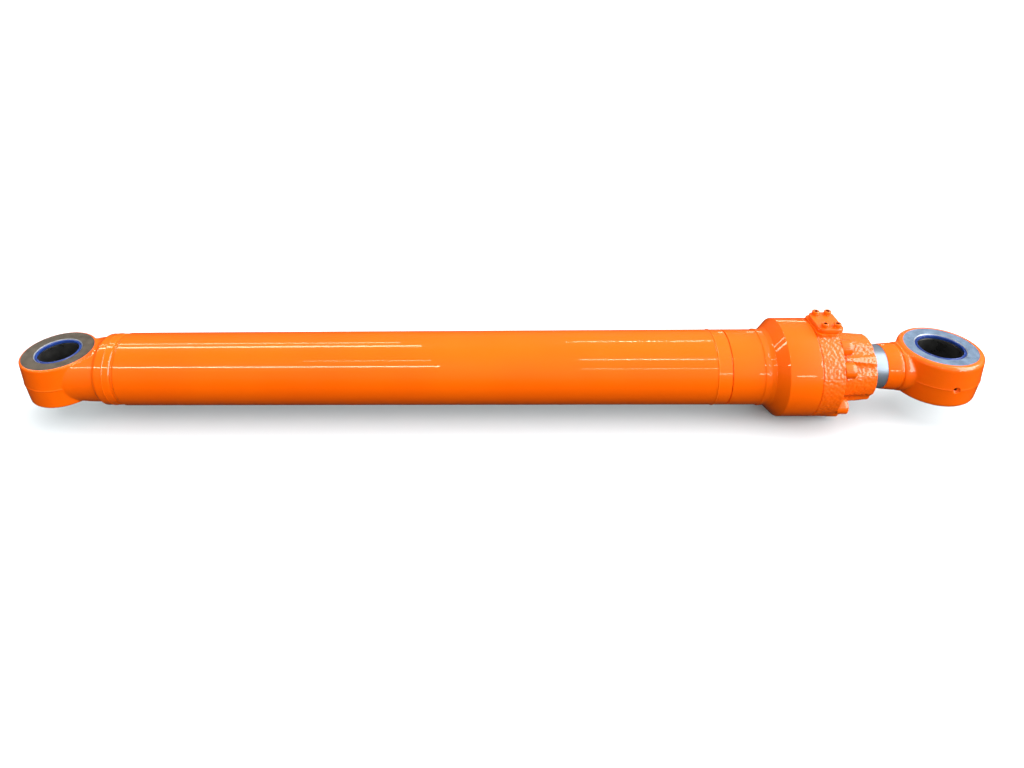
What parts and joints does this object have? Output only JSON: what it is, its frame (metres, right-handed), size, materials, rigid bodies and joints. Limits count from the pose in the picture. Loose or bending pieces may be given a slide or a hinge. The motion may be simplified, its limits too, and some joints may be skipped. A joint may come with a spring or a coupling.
{
  "type": "hydraulic cylinder",
  "caption": "Double-acting hydraulic boom cylinder, rod in: painted barrel with bolted gland head, chromed rod, and a pin eye with bush and dust seals at each end.",
  "frame": {"origin": "centre of the pin bore at the cap end, halfway between the eye's faces", "axes": "+X along the cylinder towards the rod eye, +Z along the pins with the head port on top"},
  "size_m": [2.227, 0.2343, 0.2453],
  "materials": {
    "gloss_paint": "glossy clear orange enamel",
    "cast_paint": "the same orange over a rough casting, and over its screws",
    "chrome": "ground and polished hard chrome",
    "machined_steel": "turned and faced steel",
    "dark_bush": "oiled hardened steel, nearly black in the bore",
    "bronze": "sintered bronze",
    "blue_urethane": "satin polyurethane",
    "black_rubber": "nitrile rubber",
    "nylon": "filled nylon"
  },
  "bodies": {
    "barrel": {"cap_end": "gloss_paint", "barrel_tube": "gloss_paint", "barrel_collar": "gloss_paint", "cap_port_boss": "gloss_paint", "gland_head": "cast_paint", "head_port_cover": "cast_paint", "cap_port_cover": "cast_paint", "head_port_o_ring": "black_rubber", "cap_port_o_ring": "black_rubber", "gland_o_ring": "black_rubber", "cap_eye_bush": "dark_bush", "rod_bushing": "bronze", "wiper_retaining_ring": "machined_steel", "buffer_seal": "blue_urethane", "rod_seal": "blue_urethane", "wiper_seal": "blue_urethane", "rod_seal_backup_ring": "nylon", "gland_backup_ring": "nylon", "cap_eye_dust_seal_upper": "blue_urethane", "cap_eye_dust_seal_lower": "blue_urethane", "head_bolt_1": "cast_paint", "head_bolt_2": "cast_paint", "head_bolt_3": "cast_paint", "head_bolt_4": "cast_paint", "head_bolt_5": "cast_paint", "head_bolt_6": "cast_paint", "head_bolt_7": "cast_paint", "head_bolt_8": "cast_paint", "head_port_bolt_1": "cast_paint", "head_port_bolt_2": "cast_paint", "head_port_bolt_3": "cast_paint", "head_port_bolt_4": "cast_paint", "cap_port_bolt_1": "cast_paint", "cap_port_bolt_2": "cast_paint", "cap_port_bolt_3": "cast_paint", "cap_port_bolt_4": "cast_paint"},
    "piston_rings": {"piston_seal": "blue_urethane", "wear_ring_front": "nylon", "wear_ring_rear": "nylon", "contamination_ring_front": "nylon", "contamination_ring_rear": "nylon"},
    "rod": {"piston_rod": "chrome", "rod_eye": "gloss_paint", "rod_eye_bush": "dark_bush", "rod_eye_dust_seal_upper": "blue_urethane", "rod_eye_dust_seal_lower": "blue_urethane", "piston": "machined_steel", "piston_o_ring": "black_rubber", "piston_nut": "machined_steel", "nut_set_screw": "machined_steel", "cushion_ring": "machined_steel"}
  },
  "joints": [
    {"name": "rod_stroke", "type": "slide", "parent": "barrel", "child": "piston_rings", "axis": [1, 0, 0], "range_m": [0, 1.34]},
    {"name": "rod_turn", "type": "hinge", "parent": "piston_rings", "child": "rod", "pos_m": [0.2663, 0, 0], "axis": [1, 0, 0], "continuous": true}
  ]
}
